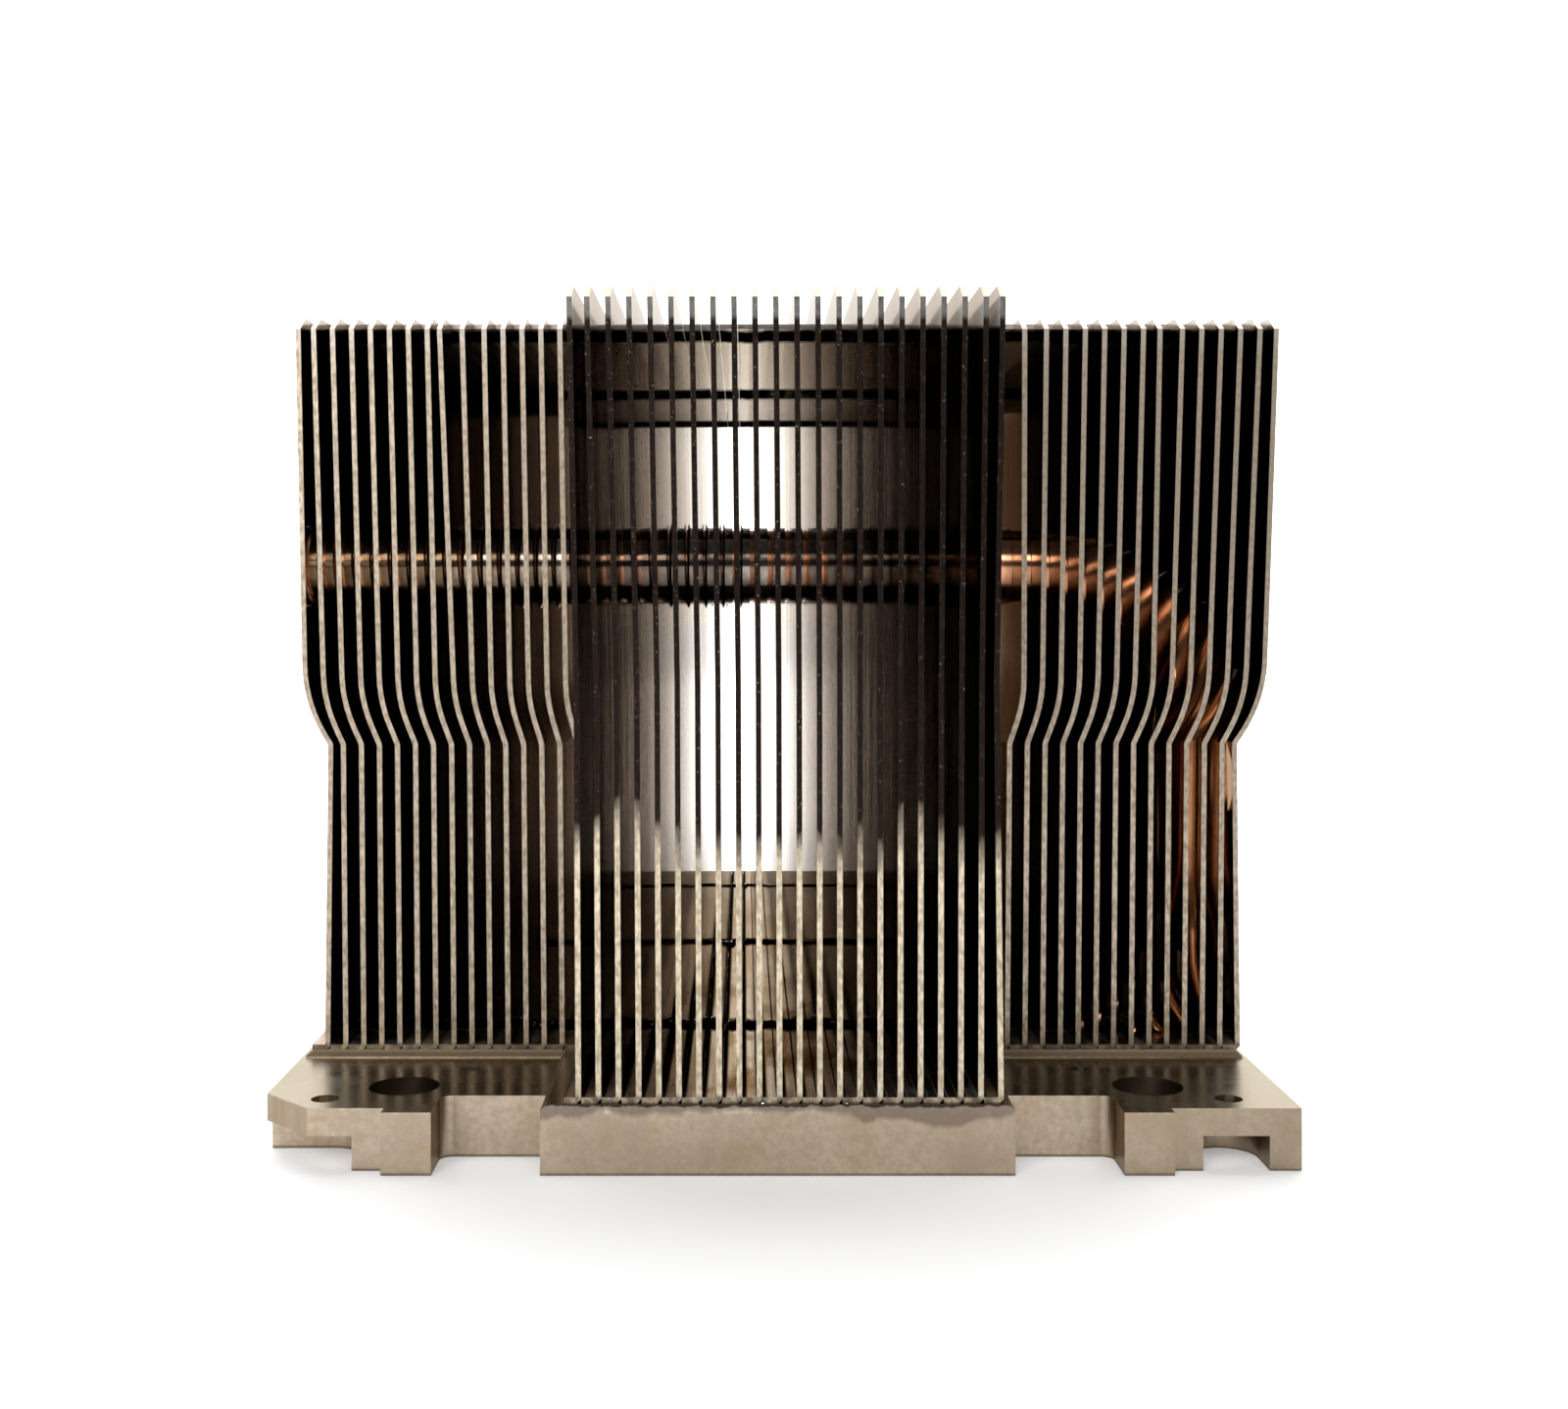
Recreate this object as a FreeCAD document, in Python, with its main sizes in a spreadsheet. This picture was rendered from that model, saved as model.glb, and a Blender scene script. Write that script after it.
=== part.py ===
import FreeCAD, Part
import functools
import math
import os

import Sketcher

# A passive heatsink for a narrow server socket: a machined copper base plate, three bent heat pipes
# and fifty-one folded fins. X runs across the fins, air flows along Y, Z is up. The origin is the
# middle of the underside, which rests on the processor.

doc = FreeCAD.newDocument("CpuHeatsink")
sheet = doc.addObject("Spreadsheet::Sheet", "Sizes")

driving_sizes = [
    ("overallHeight", 64.0),
    # base plate
    ("plateWidth", 75.6),
    ("plateDepth", 108.0),
    ("cornerHeight", 4.5),
    ("landTop", 5.1),
    ("landWidth", 74.9),
    ("wingDepth", 77.4),
    ("landEdge", 0.45),
    ("blockWidth", 34.0),
    ("recessOuter", 24.8),
    ("recessDepth", 4.4),
    ("recessCorner", 0.9),
    ("lugOuter", 28.4),
    ("earSetback", 1.1),
    ("cornerChamfer", 3.9),
    ("screwSpacingX", 56.0),
    ("screwSpacingY", 94.0),
    ("screwHole", 5.3),
    ("earHole", 2.0),
    ("earHoleX", 33.2),
    ("earHoleInset", 3.6),
    ("pinHole", 1.4),
    ("pinHoleX", 23.8),
    ("pinHoleInset", 12.0),
    ("clipPocketX", 33.1),
    ("clipPocketWidth", 4.8),
    ("clipPocketInset", 4.1),
    ("clipPocketHeight", 2.5),
    # heat pipes
    ("pipeDiameter", 6.0),
    ("pipeSpacing", 31.5),
    ("frontPipeInset", 23.5),
    ("pipeHeight", 44.0),
    ("pipeBend", 12.5),
    ("heelBend", 9.0),
    ("flatThickness", 3.4),
    ("flatWidth", 7.4),
    ("flatReach", 52.0),
    ("flattening", 7.0),
    ("rightLegX", 33.6),
    ("leftLegX", -32.3),
    ("rightPipeReach", 71.1),
    ("leftPipeReach", 71.7),
    ("grooveGap", 0.06),
    ("grooveHeel", 1.2),
    ("grooveToe", 3.0),
    # fins
    ("finThickness", 0.4),
    ("foldRadius", 0.3),
    ("footReach", 1.24),
    ("foldGap", 0.02),
    ("flangeInset", 20.5),
    ("flangeRearInset", 2.5),
    ("cornerCutDepth", 2.0),
    ("cornerCutHeight", 1.1),
    ("pipeHoleGap", 0.12),
    ("leastSlotHeight", 1.0),
    ("centreFinInset", 0.3),
    ("sideFinInset", 15.6),
    ("joggleLow", 29.6),
    ("joggleHigh", 33.0),
    ("joggleHighRadius", 11.0),
    ("bowHeight", 35.0),
    ("lowerLean", 0.2),
]
for row, (alias, length) in enumerate(driving_sizes, start=1):
    sheet.set(f"A{row}", alias)
    sheet.set(f"B{row}", str(length))
    sheet.setAlias(f"B{row}", alias)
doc.recompute()


@functools.cache
def value(expression):
    """A length given as a number, or as an expression on the sheet's cells."""
    if isinstance(expression, (int, float)):
        return float(expression)
    return float(sheet.evalExpression(expression))


def size(alias):
    return value(f"Sizes.{alias}")


def checked(feature):
    """Recompute the document and stop if the feature failed."""
    doc.recompute()
    if any(word in feature.State for word in ("Invalid", "Error")):
        raise RuntimeError(f"{feature.Label} failed: {feature.State}")
    return feature


# ---- sketches ----


def new_sketch(body, name, role, offset=None):
    """A sketch on one of the body's own origin planes, moved along its normal by offset."""
    plane = [item for item in body.Origin.OriginFeatures if item.Role == role][0]
    sketch = body.newObject("Sketcher::SketchObject", name)
    sketch.AttachmentSupport = (plane, [""])
    sketch.MapMode = "FlatFace"
    if offset is not None:
        sketch.setExpression("AttachmentOffset.Base.z", offset)
    return sketch


def add_constraints(sketch, constraints):
    """Add (constraint, expression) pairs, and bind each one that has an expression."""
    first = len(sketch.Constraints)
    sketch.addConstraint([constraint for constraint, _ in constraints])
    for index, (_, expression) in enumerate(constraints, start=first):
        if isinstance(expression, str):
            sketch.setExpression(f"Constraints[{index}]", expression)


def fix_point(geometry, position, x, y):
    """The constraints that hold a point at x, y."""
    return [
        (Sketcher.Constraint("DistanceX", -1, 1, geometry, position, value(x)), x),
        (Sketcher.Constraint("DistanceY", -1, 1, geometry, position, value(y)), y),
    ]


def round_corner(before, corner, after, radius):
    """Where an arc of this radius meets the corner's two sides, and the arc itself."""
    into = (before - corner).normalize()
    out = (after - corner).normalize()
    half = into.getAngle(out) / 2
    meets_before = corner + into * (radius / math.tan(half))
    meets_after = corner + out * (radius / math.tan(half))
    centre = corner + (into + out).normalize() * (radius / math.sin(half))
    turns_left = (corner - before).cross(after - corner).z > 0
    begin, end = (meets_before, meets_after) if turns_left else (meets_after, meets_before)
    angles = [math.atan2(p.y - centre.y, p.x - centre.x) for p in (begin, end)]
    if angles[1] < angles[0]:
        angles[1] += 2 * math.pi
    circle = Part.Circle(centre, FreeCAD.Vector(0, 0, 1), radius)
    return meets_before, meets_after, Part.ArcOfCircle(circle, *angles), turns_left


def draw_chain(sketch, points, radii, closed):
    """Lines through the points with an arc at each point that has a radius. Returns the lines'
    numbers and the arcs' as {point: (number, end on the line before, end on the line after)}."""
    count = len(points)
    arrive = list(points)
    leave = list(points)
    arcs = {}
    for index, radius in enumerate(radii):
        if radius:
            before = points[index - 1]
            after = points[(index + 1) % count]
            arrive[index], leave[index], arc, left = round_corner(
                before, points[index], after, value(radius)
            )
            ends = (1, 2) if left else (2, 1)
            arcs[index] = (sketch.addGeometry(arc, False), *ends)
    last = count if closed else count - 1
    lines = [
        sketch.addGeometry(Part.LineSegment(leave[index], arrive[(index + 1) % count]), False)
        for index in range(last)
    ]
    return lines, arcs


def arc_constraints(lines, arcs, radii):
    """Each arc is tangent to the lines on its two sides, and has its radius."""
    found = []
    for index, (arc, first, second) in arcs.items():
        found.append((Sketcher.Constraint("Tangent", lines[index - 1], 2, arc, first), None))
        found.append((Sketcher.Constraint("Tangent", arc, second, lines[index], 1), None))
        radius = radii[index]
        found.append((Sketcher.Constraint("Radius", arc, value(radius)), radius))
    return found


def draw_outline(sketch, corners):
    """A closed outline from corners (x, y) or (x, y, radius), bound to the sheet."""
    radii = [corner[2] if len(corner) > 2 else None for corner in corners]
    points = [FreeCAD.Vector(value(corner[0]), value(corner[1]), 0) for corner in corners]
    lines, arcs = draw_chain(sketch, points, radii, True)
    constraints = arc_constraints(lines, arcs, radii)
    for index, corner in enumerate(corners):
        if index in arcs:
            mark = sketch.addGeometry(Part.Point(points[index]), True)
            constraints += fix_point(mark, 1, corner[0], corner[1])
            for line in (lines[index - 1], lines[index]):
                constraints.append((Sketcher.Constraint("PointOnObject", mark, 1, line), None))
        else:
            joint = Sketcher.Constraint("Coincident", lines[index - 1], 2, lines[index], 1)
            constraints.append((joint, None))
            constraints += fix_point(lines[index], 1, corner[0], corner[1])
    add_constraints(sketch, constraints)


def draw_circle(sketch, x, y, diameter):
    circle = Part.Circle(FreeCAD.Vector(value(x), value(y), 0), FreeCAD.Vector(0, 0, 1), 1)
    circle.Radius = value(diameter) / 2
    number = sketch.addGeometry(circle, False)
    width = (Sketcher.Constraint("Diameter", number, value(diameter)), diameter)
    add_constraints(sketch, [*fix_point(number, 3, x, y), width])


def tube_outline(sides, wide, tall, x, y):
    """A regular outline round x, y with flat sides all round, cut in two and drawn apart along its
    longer way, so that it also serves for a flattened tube or a long hole."""
    lying = value(wide) >= value(tall)
    across = tall if lying else wide
    spread = f"(({wide}) - ({tall})) / 2" if lying else f"(({tall}) - ({wide})) / 2"
    corners = []
    for index in range(sides):
        angle = math.pi * (2 * index + 1) / sides
        stretch = 0.5 / math.cos(math.pi / sides)
        right = round(stretch * math.cos(angle), 6)
        up = round(stretch * math.sin(angle), 6)
        shift_x = math.copysign(1, right) if lying else 0
        shift_y = 0 if lying else math.copysign(1, up)
        corners.append(
            (
                f"{x} + {right} * ({across}) + {shift_x} * {spread}",
                f"{y} + {up} * ({across}) + {shift_y} * {spread}",
            )
        )
    return corners


def draw_sheet(sketch, path):
    """The section of a folded sheet. The path is its outer face, as corners (x, y, inside
    radius or None), and the sheet lies on the left of it."""
    thickness = "Sizes.finThickness"
    depth = value(thickness)
    outer = [FreeCAD.Vector(value(x), value(y), 0) for x, y, _ in path]
    sides = [(b - a).normalize() for a, b in zip(outer, outer[1:])]
    normals = [FreeCAD.Vector(-side.y, side.x, 0) for side in sides]
    inner = [outer[0] + normals[0] * depth]
    for corner, one, two in zip(outer[1:], normals, normals[1:]):
        inner.append(corner + (one + two) * (depth / (1 + one.dot(two))))
    inner.append(outer[-1] + normals[-1] * depth)

    near = [None] * len(path)
    far = [None] * len(path)
    for index in range(1, len(path) - 1):
        inside = path[index][2]
        if inside:
            outside = f"{inside} + {thickness}"
            folds_left = sides[index - 1].cross(sides[index]).z > 0
            near[index], far[index] = (outside, inside) if folds_left else (inside, outside)

    outer_lines, outer_arcs = draw_chain(sketch, outer, near, False)
    inner_lines, inner_arcs = draw_chain(sketch, inner, far, False)
    constraints = arc_constraints(outer_lines, outer_arcs, near)
    constraints += arc_constraints(inner_lines, inner_arcs, far)
    for index in range(1, len(path) - 1):
        x, y, _ = path[index]
        before = (outer_lines[index - 1], inner_lines[index - 1])
        after = (outer_lines[index], inner_lines[index])
        if index in outer_arcs:
            mark = sketch.addGeometry(Part.Point(outer[index]), True)
            constraints += fix_point(mark, 1, x, y)
            for line in (before[0], after[0]):
                constraints.append((Sketcher.Constraint("PointOnObject", mark, 1, line), None))
        else:
            constraints += fix_point(after[0], 1, x, y)
            for one, two in zip(before, after):
                constraints.append((Sketcher.Constraint("Coincident", one, 2, two, 1), None))
    constraints += fix_point(outer_lines[0], 1, path[0][0], path[0][1])
    constraints += fix_point(outer_lines[-1], 2, path[-1][0], path[-1][1])
    for one, two in zip(outer_lines, inner_lines):
        constraints.append((Sketcher.Constraint("Parallel", one, two), None))
        constraints.append((Sketcher.Constraint("Distance", one, 1, two, depth), thickness))
    for end, position in ((0, 1), (-1, 2)):
        cap = sketch.addGeometry(Part.LineSegment(outer[end], inner[end]), False)
        for line, cap_end in ((outer_lines[end], 1), (inner_lines[end], 2)):
            joint = Sketcher.Constraint("Coincident", line, position, cap, cap_end)
            constraints.append((joint, None))
        square = Sketcher.Constraint("Perpendicular", cap, outer_lines[end])
        constraints.append((square, None))
    add_constraints(sketch, constraints)


# ---- features ----


def new_body(name, x="0", y="0", z="0"):
    body = doc.addObject("PartDesign::Body", name)
    body.Label = name
    for axis, expression in zip("xyz", (x, y, z)):
        body.setExpression(f"Placement.Base.{axis}", expression)
    return body


def pad(body, name, sketch, length, symmetric=False):
    feature = body.newObject("PartDesign::Pad", name)
    feature.Profile = sketch
    feature.SideType = "Symmetric" if symmetric else "One side"
    feature.setExpression("Length", length)
    return checked(feature)


def pocket(body, name, sketch, depth=None, upwards=False):
    """Cut the sketch downwards or upwards by depth, or through everything on both sides."""
    before = body.Tip.Shape.Volume
    feature = body.newObject("PartDesign::Pocket", name)
    feature.Profile = sketch
    if depth is None:
        feature.Type = "ThroughAll"
        feature.SideType = "Symmetric"
    else:
        feature.Type = "Length"
        feature.Reversed = upwards
        feature.setExpression("Length", depth)
    checked(feature)
    if feature.Shape.Volume > before - 1e-6:
        raise RuntimeError(f"{body.Label}.{name} cuts nothing")
    return feature


# ---- base plate ----

half_width = "Sizes.plateWidth / 2"
half_depth = "Sizes.plateDepth / 2"


def mirrored(corners):
    """Corners of the front left quarter, continued round the other three."""
    front = corners + [(f"-({x})", y, *rest) for x, y, *rest in reversed(corners)]
    return front + [(x, f"-({y})", *rest) for x, y, *rest in reversed(front)]


def plate_quarter():
    recess_y = f"-({half_depth}) + Sizes.recessDepth"
    ear_y = f"-({half_depth}) + Sizes.earSetback"
    return [
        (f"-({half_width})", ear_y),
        ("-Sizes.lugOuter", ear_y),
        ("-Sizes.lugOuter", f"-({half_depth})"),
        ("-Sizes.recessOuter", f"-({half_depth})"),
        ("-Sizes.recessOuter", recess_y, "Sizes.recessCorner"),
        ("-Sizes.blockWidth / 2", recess_y),
        ("-Sizes.blockWidth / 2", f"-({half_depth})"),
    ]


def plate_outline():
    """The first corner, at the front left, is bevelled."""
    corners = mirrored(plate_quarter())
    x, y = corners[0]
    bevel = [(x, f"{y} + Sizes.cornerChamfer"), (f"{x} + Sizes.cornerChamfer", y)]
    return bevel + corners[1:]


def land_outline():
    """The raised cross that the fins stand on: a strip along Y, and wings across it."""
    wing_y = "-Sizes.wingDepth / 2"
    return mirrored(
        [
            ("-Sizes.landWidth / 2", wing_y),
            ("-Sizes.blockWidth / 2", wing_y),
            ("-Sizes.blockWidth / 2", f"-({half_depth})"),
        ]
    )


def clip_pocket(side, end, open_side):
    """A slot in the underside of one ear, round at its inner end. At the front left it is also
    open at the side."""
    middle = "Sizes.clipPocketX"
    half = "Sizes.clipPocketWidth / 2"
    inner = f"{side} * ({middle} - {half})"
    outer = f"{side} * ({half_width} + 1)" if open_side else f"{side} * ({middle} + {half})"
    edge = f"{end} * ({half_depth} + 1)"
    deep = f"{end} * ({half_depth} - Sizes.clipPocketInset - {half})"
    rounding = "Sizes.clipPocketWidth / 2 - 0.01"
    outer_corner = (outer, deep) if open_side else (outer, deep, rounding)
    return [(inner, edge), (inner, deep, rounding), outer_corner, (outer, edge)]


front_pipe_y = f"-({half_depth}) + Sizes.frontPipeInset"
pipes = [
    # name, side of the leg, place along Y
    ("heat_pipe_front", 1, f"{front_pipe_y}"),
    ("heat_pipe_middle", -1, f"{front_pipe_y} + Sizes.pipeSpacing"),
    ("heat_pipe_rear", 1, f"{front_pipe_y} + 2 * Sizes.pipeSpacing"),
]
leg_x = {1: "Sizes.rightLegX", -1: "Sizes.leftLegX"}
reach = {1: "Sizes.rightPipeReach", -1: "Sizes.leftPipeReach"}


small_hole_sides = 10


def make_base_plate():
    body = new_body("base_plate")
    outline = new_sketch(body, "PlateOutline", "XY_Plane")
    draw_outline(outline, plate_outline())
    pad(body, "Plate", outline, "Sizes.cornerHeight")

    cross = new_sketch(body, "LandOutline", "XY_Plane")
    draw_outline(cross, land_outline())
    pad(body, "Land", cross, "Sizes.landTop")

    land = body.Tip
    land_edges = []
    for index, edge in enumerate(land.Shape.Edges, start=1):
        box = edge.BoundBox
        on_top = abs(box.ZMin - size("landTop")) < 1e-4 and box.ZLength < 1e-4
        on_block_face = abs(box.YMin) > size("plateDepth") / 2 - 1e-4 and box.YLength < 1e-4
        if on_top and not on_block_face:
            land_edges.append(f"Edge{index}")
    bevel = body.newObject("PartDesign::Chamfer", "LandEdges")
    bevel.Base = (land, land_edges)
    bevel.setExpression("Size", "Sizes.landEdge")
    checked(bevel)

    holes = new_sketch(body, "Holes", "XY_Plane", "Sizes.landTop")
    for side in (-1, 1):
        for end in (-1, 1):
            screw = (f"{side} * Sizes.screwSpacingX / 2", f"{end} * Sizes.screwSpacingY / 2")
            draw_circle(holes, *screw, "Sizes.screwHole")
            for hole in ("earHole", "pinHole"):
                width = f"Sizes.{hole}"
                x = f"{side} * Sizes.{hole}X"
                y = f"{end} * ({half_depth} - Sizes.{hole}Inset)"
                draw_outline(holes, tube_outline(small_hole_sides, width, width, x, y))
    pocket(body, "HolesThrough", holes, "Sizes.landTop + 1")

    pockets = new_sketch(body, "ClipPockets", "XY_Plane")
    for side in (-1, 1):
        for end in (-1, 1):
            draw_outline(pockets, clip_pocket(side, end, side == -1 and end == -1))
    pocket(body, "ClipSlots", pockets, "Sizes.clipPocketHeight", upwards=True)

    grooves = new_sketch(body, "PipeGrooves", "XY_Plane", "Sizes.landTop")
    for _, side, y in pipes:
        run = "Sizes.flatReach + Sizes.heelBend + Sizes.grooveHeel + Sizes.grooveToe"
        middle = f"{leg_x[side]} + {side} * (Sizes.grooveHeel - ({run}) / 2)"
        width = "Sizes.flatWidth + 2 * Sizes.grooveGap"
        draw_outline(grooves, tube_outline(8, run, width, middle, y))
    pocket(body, "PipeSlots", grooves, "Sizes.flatThickness")
    return body


# ---- heat pipes ----

pipe_sides = 8
flat_z = "(Sizes.landTop - Sizes.flatThickness / 2)"


def draw_route(sketch, corners, bend):
    """A run, a bend and a second run, through three corners."""
    radii = [None, bend, None]
    points = [FreeCAD.Vector(value(x), value(z), 0) for x, z in corners]
    lines, arcs = draw_chain(sketch, points, radii, False)
    mark = sketch.addGeometry(Part.Point(points[1]), True)
    constraints = arc_constraints(lines, arcs, radii)
    constraints += fix_point(mark, 1, *corners[1])
    for line in lines:
        constraints.append((Sketcher.Constraint("PointOnObject", mark, 1, line), None))
    constraints += fix_point(lines[0], 1, *corners[0])
    constraints += fix_point(lines[1], 2, *corners[2])
    add_constraints(sketch, constraints)


def sweep(body, name, section, route):
    doc.recompute()
    feature = body.newObject("PartDesign::AdditivePipe", name)
    feature.Profile = section
    feature.Spine = (route, [])
    return checked(feature)


def make_heat_pipe(name, side, y):
    """A tube bent like a U on its side: a round run high up through the fins, a leg, and a flattened
    run in the plate. Drawn with its leg on Z and its runs towards -X, then turned if it stands on
    the left."""
    body = new_body(name, leg_x[side], y, flat_z)
    if side < 0:
        body.Placement.Rotation = FreeCAD.Rotation(FreeCAD.Vector(0, 0, 1), 180)
    rise = f"(Sizes.pipeHeight - {flat_z})"
    tip = f"-({reach[side]})"
    flattening = "Sizes.heelBend + Sizes.flattening"

    high_route = new_sketch(body, "HighRoute", "XZ_Plane")
    draw_route(high_route, [(tip, rise), ("0", rise), ("0", flattening)], "Sizes.pipeBend")
    tube = new_sketch(body, "TubeSection", "YZ_Plane", tip)
    round_size = "Sizes.pipeDiameter"
    draw_outline(tube, tube_outline(pipe_sides, round_size, round_size, "0", rise))
    sweep(body, "HighRun", tube, high_route)

    leg_end = new_sketch(body, "LegEnd", "XY_Plane", flattening)
    draw_outline(leg_end, tube_outline(pipe_sides, round_size, round_size, "0", "0"))
    heel_top = new_sketch(body, "HeelTop", "XY_Plane", "Sizes.heelBend")
    flat_size = ("Sizes.flatThickness", "Sizes.flatWidth")
    draw_outline(heel_top, tube_outline(pipe_sides, *flat_size, "0", "0"))
    doc.recompute()
    taper = body.newObject("PartDesign::AdditiveLoft", "Flattening")
    taper.Profile = leg_end
    taper.Sections = [heel_top]
    taper.Ruled = True
    checked(taper)

    low_route = new_sketch(body, "LowRoute", "XZ_Plane")
    low_end = "-Sizes.heelBend - Sizes.flatReach"
    draw_route(low_route, [("0", "Sizes.heelBend"), ("0", "0"), (low_end, "0")], "Sizes.heelBend - 0.001")
    sweep(body, "LowRun", heel_top, low_route)
    return body


# ---- fins ----

hole_sides = 8
fin_height = "(Sizes.overallHeight - Sizes.landTop)"
half_sheet = "Sizes.finThickness / 2"

# The three groups, each from its leftmost fin. Foot and top are the places of the first fin and the
# steps to the next, joggle is the outward shift of the first fin and of the last.
fin_groups = [
    {
        "name": "fin_left",
        "count": 15,
        "foot": (-35.77, 1.4457),
        "top": (-38.48, 1.52),
        "joggle": (-1.6, -0.95),
        "inset": "Sizes.sideFinInset",
    },
    {
        "name": "fin_centre",
        "count": 22,
        "foot": (-14.28, 1.4424),
        "top": (-15.23, 1.51),
        "joggle": (0, 0),
        "inset": "Sizes.centreFinInset",
    },
    {
        "name": "fin_right",
        "count": 14,
        "foot": (18.69, 1.4192),
        "top": (20.3, 1.56),
        "joggle": (1.15, 1.9),
        "inset": "Sizes.sideFinInset",
    },
]
# fins knocked a little out of line: how far their top, and their wall at mid height, are pushed
pushed_tops = {
    "fin_left_01": 0.29,
    "fin_left_09": -0.55,
    "fin_left_10": -0.25,
    "fin_centre_01": 0.25,
    "fin_centre_22": -0.3,
    "fin_right_01": -0.2,
    "fin_right_08": -0.25,
    "fin_right_14": -0.25,
}
pushed_walls = {
    "fin_left_01": 0.42,
    "fin_centre_22": -0.35,
    "fin_right_14": -0.42,
}


def joggled_path(joggle, wall_push):
    """The outer face of a side fin's wall above its foot, as corners (x, z, inside radius)."""
    side = math.copysign(1, joggle)
    low_x = f"{half_sheet} + {side} * Sizes.lowerLean + {wall_push}"
    high_x = f"{half_sheet} + {side} * Sizes.lowerLean + {joggle}"
    return [
        (low_x, "Sizes.joggleLow - Sizes.landTop", None),
        (high_x, "Sizes.joggleHigh - Sizes.landTop", "Sizes.joggleHighRadius"),
    ]


def straight_path(lean, wall_push):
    """The outer face of a centre fin's wall above its foot, which bows a little at mid height."""
    x = f"{half_sheet} + {lean} * 0.2 + {wall_push}"
    return [(x, "Sizes.bowHeight - Sizes.landTop", None)]


def wall_place(path, foot_x, height):
    """How far along X the wall stands at a height above the land."""
    points = [(value(x) - size("finThickness") / 2, value(z)) for x, z, _ in path]
    for (x_low, z_low), (x_high, z_high) in zip(points, points[1:]):
        if height <= z_high:
            share = (height - z_low) / (z_high - z_low)
            return foot_x + x_low + (x_high - x_low) * share
    return foot_x + points[-1][0]


def pipe_centre_gap(x, z, side):
    """How far a point lies outside a heat pipe's round part, from its axis in the XZ plane, less
    its radius. z is a height above the land."""
    inward = (value(leg_x[side]) - x) * side
    low_centre = value(flat_z) - size("landTop")
    high = size("pipeHeight") - size("landTop")
    bend = size("pipeBend")
    heel = size("heelBend")
    radius = size("pipeDiameter") / 2
    flat = size("flatThickness") / 2
    if inward >= bend and z > high / 2:
        return abs(z - high) - radius
    if z > high - bend:
        return abs(math.hypot(bend - inward, z - high + bend) - bend) - radius
    if z > low_centre + heel:
        return abs(inward) - radius
    if inward >= heel:
        return abs(z - low_centre) - flat
    return abs(math.hypot(heel - inward, low_centre + heel - z) - heel) - radius


def pipe_openings(path, foot_x, side):
    """The stretches of a fin's wall, as heights above the land, that a heat pipe passes through."""
    gap = size("pipeHoleGap")
    half_wall = size("finThickness") / 2
    step = 0.05
    stretches = []
    inside = False
    for index in range(int(value(fin_height) / step)):
        height = index * step
        wall_x = wall_place(path, foot_x, height)
        faces_and_middle = (wall_x - half_wall, wall_x, wall_x + half_wall)
        if min(pipe_centre_gap(x, height, side) for x in faces_and_middle) < gap:
            if not inside:
                stretches.append([height, height])
            stretches[-1][1] = height
            inside = True
        else:
            inside = False
    return stretches


def pipe_opening_outline(low, high, y):
    """A round hole for a straight run, a long one across a bend, and a wide slot where the
    flattened heel comes through, which is open at the foot if it starts there."""
    width = "Sizes.pipeDiameter + 2 * Sizes.pipeHoleGap"
    heel_top = value(f"{flat_z} - Sizes.landTop + Sizes.heelBend + Sizes.flattening")
    if low < heel_top:
        half_slot = "(Sizes.flatWidth / 2 + Sizes.pipeHoleGap)"
        left = f"{y} - {half_slot}"
        right = f"{y} + {half_slot}"
        top = f"{max(high, size('leastSlotHeight')):.3f}"
        bottom = f"{low:.3f}" if low else "-1"
        return [(left, bottom), (right, bottom), (right, top), (left, top)]
    run_z = "Sizes.pipeHeight - Sizes.landTop"
    run_top = value(run_z) + value(width) / 2
    run_bottom = value(run_z) - value(width) / 2
    if abs(high - run_top) < 0.06 and abs(low - run_bottom) < 0.06:
        return tube_outline(hole_sides, width, width, y, run_z)
    tall = max(high - low, value(width) + 0.01)
    return tube_outline(hole_sides, width, f"{tall:.3f}", y, f"{high - tall / 2:.3f}")


def cut_pipe_openings(body, path, foot_x, foot_reach):
    """The flat run lies under the foot and needs no opening until the heel begins to rise."""
    for name, side, y in pipes:
        heel_rises = pipe_centre_gap(foot_x - foot_reach, 0, side) < -0.005
        for low, high in pipe_openings(path, foot_x, side):
            if high > size("finThickness") or heel_rises and low == 0:
                opening = new_sketch(body, f"Opening_{name}", "YZ_Plane")
                draw_outline(opening, pipe_opening_outline(low, high, y))
                pocket(body, f"Hole_{name}", opening)


def top_corner(front, end):
    """What is cut off a fin's top corner at its front end (1) or rear end (-1)."""
    cut_top = f"{fin_height} + 1"
    cut_low = f"{fin_height} - Sizes.cornerCutHeight"
    outside = f"{end} * ({front} - 1)"
    edge = f"{end} * ({front})"
    inside = f"{end} * ({front} + Sizes.cornerCutDepth)"
    return [
        (outside, cut_top),
        (outside, cut_low),
        (edge, cut_low),
        (inside, fin_height),
        (inside, cut_top),
    ]


def trim_flange(body, front, lean, flange_reach):
    """Shorten the flange at both ends, so that the gap to the fin before is open above there."""
    trims = new_sketch(body, "FlangeEnds", "XY_Plane", f"{fin_height} + 1")
    far_x = f"{lean} - {flange_reach} - 1"
    near_x = f"{lean} - {half_sheet}"
    flange_front = f"-({half_depth}) + Sizes.flangeInset"
    flange_rear = f"-({front}) - Sizes.flangeRearInset"
    for y_from, y_to in ((f"{front} - 1", flange_front), (flange_rear, f"-({front}) + 1")):
        draw_outline(trims, [(far_x, y_from), (near_x, y_from), (near_x, y_to), (far_x, y_to)])
    pocket(body, "TrimFlange", trims, "Sizes.finThickness + 1.1")


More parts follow.
